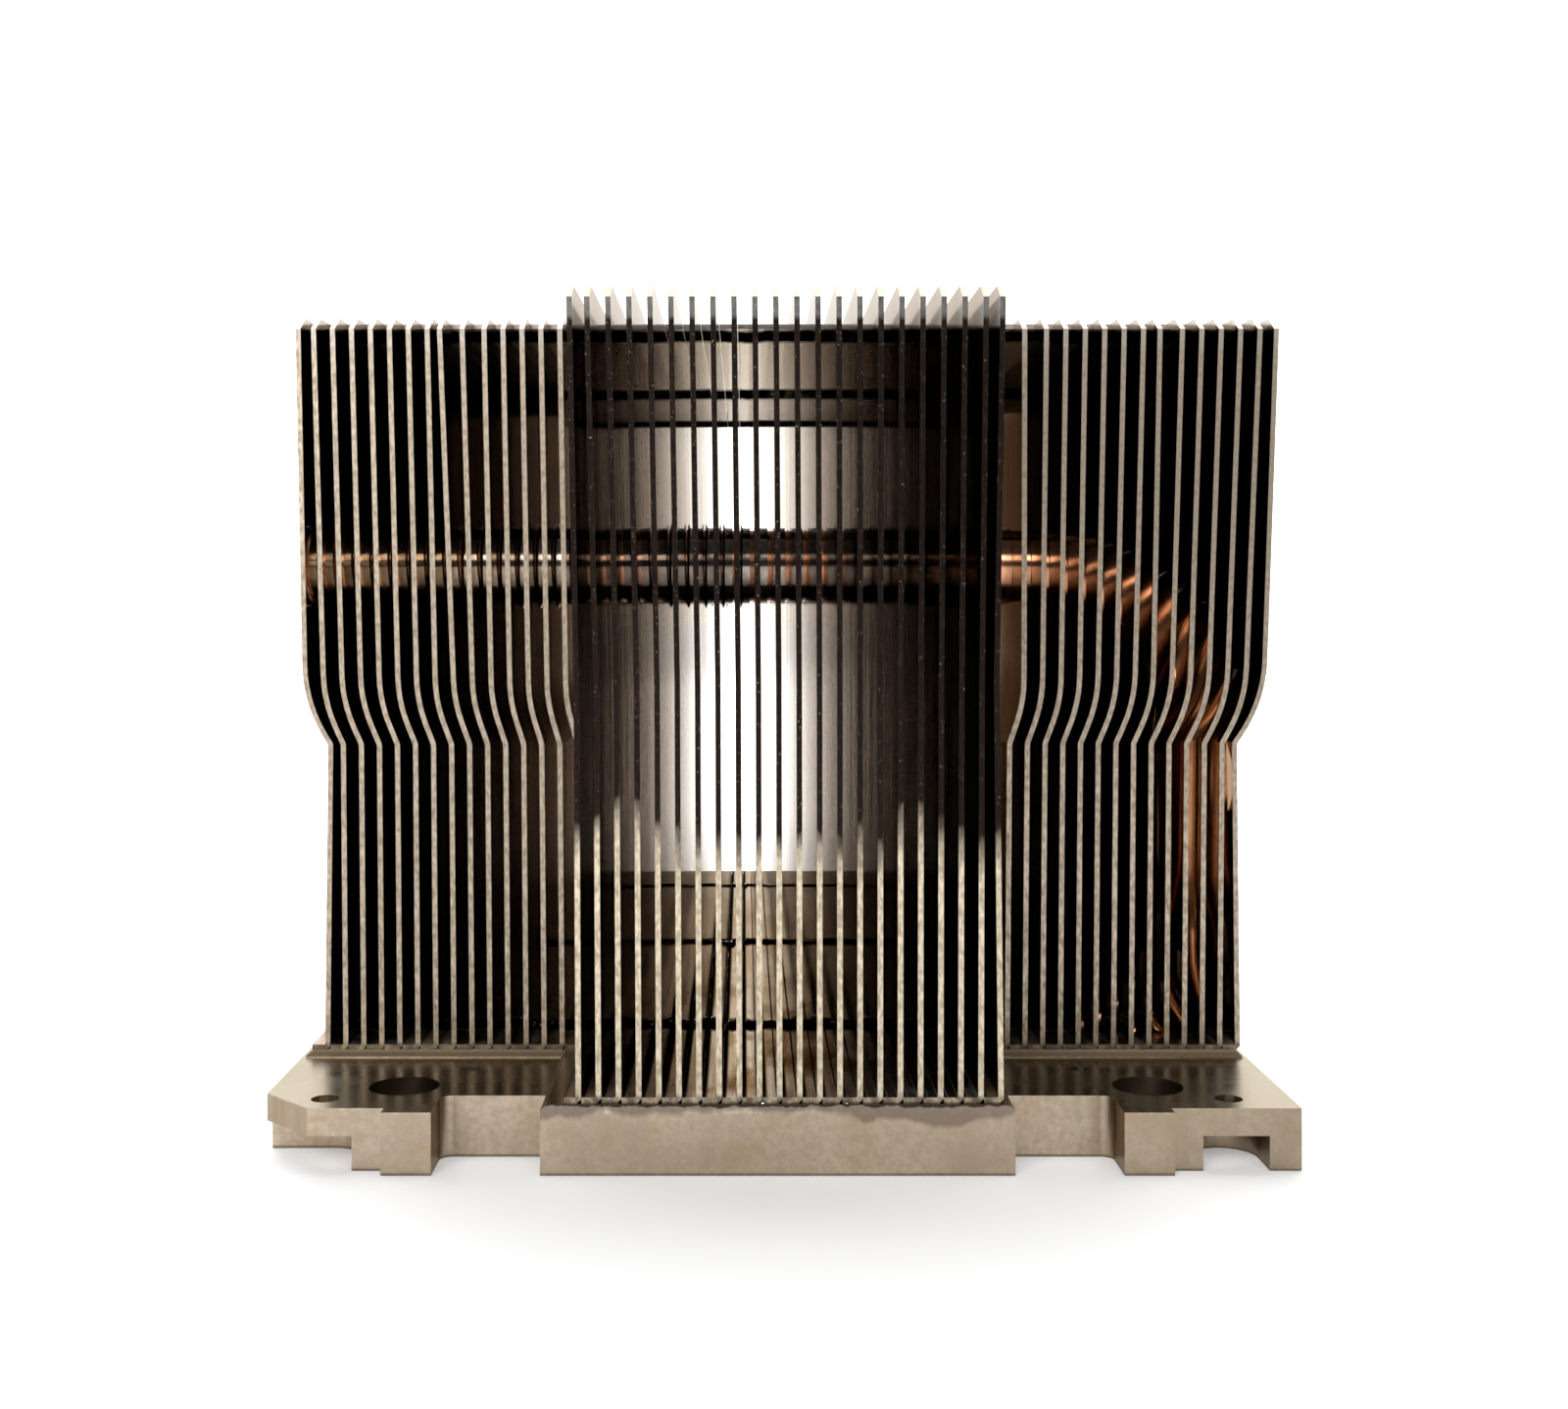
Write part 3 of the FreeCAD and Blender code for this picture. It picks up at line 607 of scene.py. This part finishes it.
sideMaterial = makeFinMaterial("platedSideFin", finLooks["side"], finLooks)
centreMaterial = makeFinMaterial("platedCentreFin", finLooks["centre"], finLooks)
finNames = sorted(name for name in nodes if name.startswith("fin_"))
for name in finNames:
    dress(nodes[name], centreMaterial if name.startswith("fin_centre") else sideMaterial)
print("fins dressed")


# heat pipes

heatPipes = {
    "lengths": {
        "radius": 3.0,
        "height": 44.0,
        "bend": 12.5,
        "heel": 9.0,
        "flatThickness": 3.4,
        "flatWidth": 7.4,
        "flatReach": 52.0,
        "flattening": 7.0,
        "landTop": 5.1,
        "tipLength": 1.6,
        "tipRadius": 1.7,
    },
    "sides": 32,
    "steps": {"tip": 4, "bend": 16, "flattening": 6, "heel": 12},
    "legs": {
        # side of the leg, place of the leg along X, place along Y, reach of the high run
        "front": (1, 33.6, -30.5, 71.1),
        "middle": (-1, -32.3, 1.0, 71.7),
        "rear": (1, 33.6, 32.5, 71.1),
    },
    "looks": {
        "copper": (0.86, 0.47, 0.30),
        "deepCopper": (0.62, 0.27, 0.15),
        "oxide": (0.23, 0.10, 0.06),
        "patches": {"scale": 160, "span": (0.35, 0.65)},
        "spots": {"scale": 520, "span": (0.56, 0.72), "share": (0.0, 0.8), "detail": 6},
        "dents": {"scale": 900, "detail": 3},
        "bump": (0.12, 0.02),
        "roughness": (0.14, 0.28),
    },
}
mergeDistance = 0.005 * mm


def makeCopperMaterial(looks):
    material, shader = startMaterial("bareCopper")
    patches = pattern(material, **looks["patches"])
    colour = paint(material, looks["copper"], [
        (patches, looks["deepCopper"]),
        (pattern(material, **looks["spots"]), looks["oxide"]),
    ])
    feed(material, colour, shader.inputs["Base Color"])
    roughness = mapRange(material, patches, 0, 1, *looks["roughness"])
    feed(material, roughness, shader.inputs["Roughness"])
    addBump(material, shader, noise(material, **looks["dents"]), *looks["bump"])
    return material


def swellTip(tipX, side, y, size):
    # the closed tip swells to the full tube
    steps = heatPipes["steps"]["tip"]
    grown = size["tipRadius"]
    for step in range(1, steps + 1):
        along = tipX + side * size["tipLength"] * step / steps
        swelling = (size["radius"] - size["tipRadius"]) * math.sin(math.pi / 2 * step / steps)
        factor = (size["tipRadius"] + swelling) / grown
        centre = (along, y, size["height"])
        extrudeRing((side * size["tipLength"] / steps, 0, 0), (1, factor, factor), centre)
        grown = size["tipRadius"] + swelling


def flattenLeg(legX, y, flatTop, size):
    # the tube is pressed flat little by little on its way down to the heel
    steps = heatPipes["steps"]["flattening"]
    thin = size["flatThickness"] / (2 * size["radius"])
    wide = size["flatWidth"] / (2 * size["radius"])
    before = (1, 1)
    for step in range(1, steps + 1):
        share = (1 - math.cos(math.pi * step / steps)) / 2
        now = (1 + (thin - 1) * share, 1 + (wide - 1) * share)
        centre = (legX, y, flatTop + size["flattening"] * (1 - step / steps))
        scale = (now[0] / before[0], now[1] / before[1], 1)
        extrudeRing((0, 0, -size["flattening"] / steps), scale, centre)
        before = now


def makePipe(name, leg):
    # one ring drawn along the route: high run, bend, leg, flattened heel, run in the plate
    size = {part: length * mm for part, length in heatPipes["lengths"].items()}
    steps = heatPipes["steps"]
    side = leg[0]
    legX, y, reach = [length * mm for length in leg[1:]]
    tipX = legX - side * reach
    bendTop = size["height"] - size["bend"]
    flatTop = size["landTop"] - size["flatThickness"] / 2 + size["heel"]
    pipe = startRing(heatPipes["sides"], size["tipRadius"], (tipX, y, size["height"]))
    pipe.name = name
    swellTip(tipX, side, y, size)
    extrudeRing((side * (reach - size["bend"] - size["tipLength"]), 0, 0))
    turn = {"angle": -side * math.pi / 2, "axis": (0, 1, 0)}
    bendCentre = (legX - side * size["bend"], y, bendTop)
    bpy.ops.mesh.spin(steps=steps["bend"], center=bendCentre, **turn)
    extrudeRing((0, 0, flatTop + size["flattening"] - bendTop))
    flattenLeg(legX, y, flatTop, size)
    heelCentre = (legX - side * size["heel"], y, flatTop)
    bpy.ops.mesh.spin(steps=steps["heel"], center=heelCentre, **turn)
    extrudeRing((-side * size["flatReach"], 0, 0))

    # both ends are closed
    bpy.ops.mesh.select_all(action="SELECT")
    bpy.ops.mesh.remove_doubles(threshold=mergeDistance)
    bpy.ops.mesh.select_all(action="DESELECT")
    bpy.ops.mesh.select_non_manifold()
    bpy.ops.mesh.fill_holes(sides=0)
    bpy.ops.mesh.select_all(action="SELECT")
    bpy.ops.mesh.normals_make_consistent(inside=False)
    settle(pipe)
    return pipe


copperMaterial = makeCopperMaterial(heatPipes["looks"])
for place, leg in heatPipes["legs"].items():
    pipe = makePipe(f"pipe_{place}", leg)
    dress(pipe, copperMaterial)
    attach(pipe, "root")
    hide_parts(f"heat_pipe_{place}")
print("heat pipes made")


# collars drawn up from the fins round the pipes

collarParts = {
    "lengths": {
        "rootRadius": 3.6,
        "radius": 3.22,
        "boreRadius": 3.04,
        "flare": 0.16,
        "length": 0.78,
        "clearOfBend": 1.5,
    },
    "sides": 20,
    "looks": {
        "plating": (0.64, 0.59, 0.52),
        "shade": (0.26, 0.215, 0.17),
        "solder": (0.46, 0.25, 0.16),
        "burnt": (0.10, 0.075, 0.06),
        "shadeInward": (17, 12, 0.0, 0.6),
        "blotches": {"scale": 380, "span": (0.35, 0.65)},
        "wornSpots": {"scale": 900, "span": (0.57, 0.69), "share": (0.0, 0.6), "detail": 5},
        "dents": {"scale": 800, "detail": 3},
        "bump": (0.15, 0.02),
        "roughness": (0.10, 0.20),
    },
}


def makeCollarMaterial(looks):
    material, shader = startMaterial("platedCollar")
    x, _, _ = position(material)
    blotches = pattern(material, **looks["blotches"])
    # painted shade: the collars toward the middle are darkened, in place of the dark reflection
    # they show there
    inCentre = mapRange(material, absolute(material, x), *looks["shadeInward"])
    colour = paint(material, looks["plating"], [
        (blotches, looks["shade"]),
        (pattern(material, **looks["wornSpots"]), looks["solder"]),
        (inCentre, looks["burnt"]),
    ])
    feed(material, colour, shader.inputs["Base Color"])
    roughness = mapRange(material, blotches, 0, 1, *looks["roughness"])
    feed(material, roughness, shader.inputs["Roughness"])
    addBump(material, shader, noise(material, **looks["dents"]), *looks["bump"])
    return material


def makeCollar():
    # a ring that flares at its root, turned inward at its lip and back along its bore
    size = {part: length * mm for part, length in collarParts["lengths"].items()}
    collar = startRing(collarParts["sides"], size["rootRadius"])
    narrow = size["radius"] / size["rootRadius"]
    bore = size["boreRadius"] / size["radius"]
    outward = size["rootRadius"] / size["boreRadius"]
    extrudeRing((size["flare"], 0, 0), (1, narrow, narrow), (size["flare"], 0, 0))
    extrudeRing((size["length"] - size["flare"], 0, 0))
    extrudeRing((0, 0, 0), (1, bore, bore), (size["length"], 0, 0))
    extrudeRing((-size["length"], 0, 0))
    extrudeRing((0, 0, 0), (1, outward, outward), (0, 0, 0))
    bpy.ops.mesh.select_all(action="SELECT")
    bpy.ops.mesh.remove_doubles(threshold=mergeDistance)
    bpy.ops.mesh.normals_make_consistent(inside=False)
    settle(collar)
    return collar


def finFaceAt(node, y, z, reach):
    # the right face of the fin's wall in millimetres, beside the hole for a pipe at y, z
    near = [
        point.co.x / mm
        for point in node.data.vertices
        if abs(point.co.y / mm - y) < reach and abs(point.co.z / mm - z) < reach
    ]
    return max(near) if near else None


def placesOfCollars(side, legX, y, reach):
    # one on each fin along the straight run, but none past the tip, where nothing is gripped
    pipe, collar = heatPipes["lengths"], collarParts["lengths"]
    bendStart = legX - side * (pipe["bend"] + collar["clearOfBend"])
    rightEnd = max(legX, legX - side * reach)
    places = []
    for name in finNames:
        faceX = finFaceAt(nodes[name], y, pipe["height"], collar["rootRadius"])
        if faceX is None or (faceX - bendStart) * side > 0:
            continue
        if faceX + collar["length"] <= rightEnd:
            places.append((faceX, y, pipe["height"]))
    return places


collarMaterial = makeCollarMaterial(collarParts["looks"])
oneCollar = makeCollar()
for place, leg in heatPipes["legs"].items():
    collars = []
    for spot in placesOfCollars(*leg):
        collar = oneCollar.copy()
        collar.data = oneCollar.data.copy()
        bpy.context.scene.collection.objects.link(collar)
        collar.location = [length * mm for length in spot]
        collars.append(collar)
    joined = joinPieces(f"collars_{place}", collars)
    settle(joined)
    dress(joined, collarMaterial)
    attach(joined, "root")
bpy.data.objects.remove(oneCollar)
print("collars made")


# solder beads that came up beside the pipes' flat runs, and two on the middle block's edge

solderBeads = {
    "radius": (0.16, 0.36),
    "rows": (-31.0, 4.5, 41.0),
    "rowSpread": 1.6,
    "footTop": 5.5,
    "underFoot": 5.2,
    "besideNextFin": 0.85,
    "sideFins": ("fin_left_08", "fin_left_12", "fin_left_13", "fin_left_14"),
    "onEdge": ((-1.05, 0.42), (4.95, 0.36)),
    "edgePlace": (-53.55, 5.05),
    "length": 1.3,
    "thickness": 0.7,
    "edgeThickness": 0.9,
    "edgeSize": 0.8,
    "sunk": 0.4,
    "seed": 7,
    "smoothAngle": 60,
    "looks": {
        "tin": (0.80, 0.77, 0.72),
        "dross": (0.45, 0.38, 0.30),
        "skin": {"scale": 1300, "span": (0.4, 0.65)},
        "dimples": {"scale": 1800, "detail": 3},
        "bump": (0.2, 0.01),
        "roughness": (0.12, 0.30),
    },
}


def makeSolderMaterial(looks):
    material, shader = startMaterial("solder")
    skin = pattern(material, **looks["skin"])
    colour = mixColours(material, skin, looks["tin"], looks["dross"])
    feed(material, colour, shader.inputs["Base Color"])
    roughness = mapRange(material, skin, 0, 1, *looks["roughness"])
    feed(material, roughness, shader.inputs["Roughness"])
    addBump(material, shader, noise(material, **looks["dimples"]), *looks["bump"])
    return material


def makeBead(place, radius, thickness):
    deselectAll()
    bpy.ops.mesh.primitive_ico_sphere_add(subdivisions=2, radius=radius * mm)
    bead = bpy.context.object
    startEdit()
    stretch = (1, solderBeads["length"], thickness)
    bpy.ops.transform.resize(value=stretch, center_override=(0, 0, 0))
    bpy.ops.transform.translate(value=[length * mm for length in place])
    bpy.ops.object.mode_set(mode="OBJECT")
    return bead


def gapBeside(node):
    # X in the gap to the right of a fin's foot, near the next fin's wall
    below = solderBeads["underFoot"] * mm
    foot = [point.co.x for point in node.data.vertices if point.co.z < below]
    return max(foot) / mm - solderBeads["besideNextFin"]


draws = random.Random(solderBeads["seed"])
beads = []
for name in finNames:
    inCentre = name.startswith("fin_centre")
    if not inCentre and name not in solderBeads["sideFins"]:
        continue
    for row in solderBeads["rows"] if inCentre else solderBeads["rows"][:1]:
        radius = draws.uniform(*solderBeads["radius"])
        rowY = row + draws.uniform(-solderBeads["rowSpread"], solderBeads["rowSpread"])
        height = solderBeads["footTop"] + radius * solderBeads["sunk"]
        place = (gapBeside(nodes[name]), rowY, height)
        beads.append(makeBead(place, radius, solderBeads["thickness"]))
for x, radius in solderBeads["onEdge"]:
    place = (x, *solderBeads["edgePlace"])
    beads.append(makeBead(place, radius * solderBeads["edgeSize"], solderBeads["edgeThickness"]))
solder = joinPieces("solder_beads", beads)
settle(solder, solderBeads["smoothAngle"])
dress(solder, makeSolderMaterial(solderBeads["looks"]))
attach(solder, "root")
print("solder made")


# floor, light and camera

floorLooks = {
    "size": 6.0,
    "below": 0.05,
    "colour": (0.93, 0.93, 0.93),
    "roughness": 0.9,
    "glow": (0.28, 1.5),
    "brightens": (60, 160),
}
worldLooks = {
    "white": (1, 1, 1),
    "backTint": (1.0, 0.965, 0.915),
    "front": 0.08,
    "top": 1.0,
    "back": 2.1,
    "frontToTop": (-0.15, 0.55),
    "topToBack": (0.80, 0.92),
    "backFade": (0.45, 0.33),
}
softboxes = {
    # place, the point it faces, size and power
    "topSoftbox": ((0.0, 0.40, 0.62), (0, 0, 0.03), (0.9, 0.85), 7.0),
    "frontLeftSoftbox": ((-0.22, -0.62, 0.36), (0, 0, 0.04), (0.40, 0.20), 1.9),
    "frontRightSoftbox": ((0.22, -0.62, 0.36), (0, 0, 0.04), (0.38, 0.17), 1.0),
    "leftSoftbox": ((-0.26, -0.66, 0.14), (0, 0, 0.04), (0.16, 0.16), 0.42),
}
cameraLooks = {
    "place": (-2.42, -182.26, 41.16),
    "lens": 41.204,
    "sensor": 36,
    "shift": (0.0256, -0.0668),
    "clipStart": 0.01,
}


def makeFloor(looks):
    deselectAll()
    bpy.ops.mesh.primitive_plane_add(size=looks["size"], location=(0, 0, -looks["below"] * mm))
    floor = bpy.context.object
    floor.name = "floor"
    bpy.ops.object.transform_apply(location=True, rotation=True, scale=True)
    material, shader = startMaterial("paleFloor", 0.0)
    shader.inputs["Base Color"].default_value = (*looks["colour"], 1)
    shader.inputs["Roughness"].default_value = looks["roughness"]
    shader.inputs["Emission Color"].default_value = (1, 1, 1, 1)
    # the floor brightens behind the part, where the paper sweep catches the back light
    _, y, _ = position(material)
    glow = mapRange(material, y, *looks["brightens"], *looks["glow"])
    feed(material, glow, shader.inputs["Emission Strength"])
    dress(floor, material)


def makeWorld(looks):
    # white behind and above the part, darker on the side of the camera, as in a light tent
    world = bpy.data.worlds.new("studio")
    bpy.context.scene.world = world
    world.use_nodes = True
    background = world.node_tree.nodes["Background"]
    direction = addNode(world, "ShaderNodeTexCoord").outputs["Generated"]
    _, y, z = splitAxes(world, direction)
    overhead = mapRange(world, y, *looks["frontToTop"], looks["front"], looks["top"])
    behind = mapRange(world, y, *looks["topToBack"], 0.0, looks["back"] - looks["top"])
    backWall = product(world, behind, mapRange(world, z, *looks["backFade"]))
    colour = mixColours(world, backWall, looks["white"], looks["backTint"])
    feed(world, colour, background.inputs["Color"])
    feed(world, total(world, overhead, backWall), background.inputs["Strength"])


def addSoftbox(name, place, target, size, power):
    bpy.ops.object.light_add(type="AREA", location=place)
    light = bpy.context.object
    light.name = name
    light.data.shape = "RECTANGLE"
    light.data.size, light.data.size_y = size
    light.data.energy = power
    direction = [there - here for there, here in zip(target, place)]
    light.rotation_euler = Vector(direction).to_track_quat("-Z", "Y").to_euler()


def addCamera(looks):
    bpy.ops.object.camera_add(
        location=[length * mm for length in looks["place"]],
        rotation=(math.radians(90), 0, 0),
    )
    camera = bpy.context.object
    camera.data.lens = looks["lens"]
    camera.data.sensor_width = looks["sensor"]
    camera.data.shift_x, camera.data.shift_y = looks["shift"]
    camera.data.clip_start = looks["clipStart"]
    bpy.context.scene.camera = camera


makeFloor(floorLooks)
makeWorld(worldLooks)
deselectAll()
for name, softbox in softboxes.items():
    addSoftbox(name, *softbox)
addCamera(cameraLooks)
bpy.context.scene.view_settings.view_transform = "Standard"
bpy.context.scene.cycles.glossy_bounces = 12  # light crosses the stack in many reflections
print("stage set")
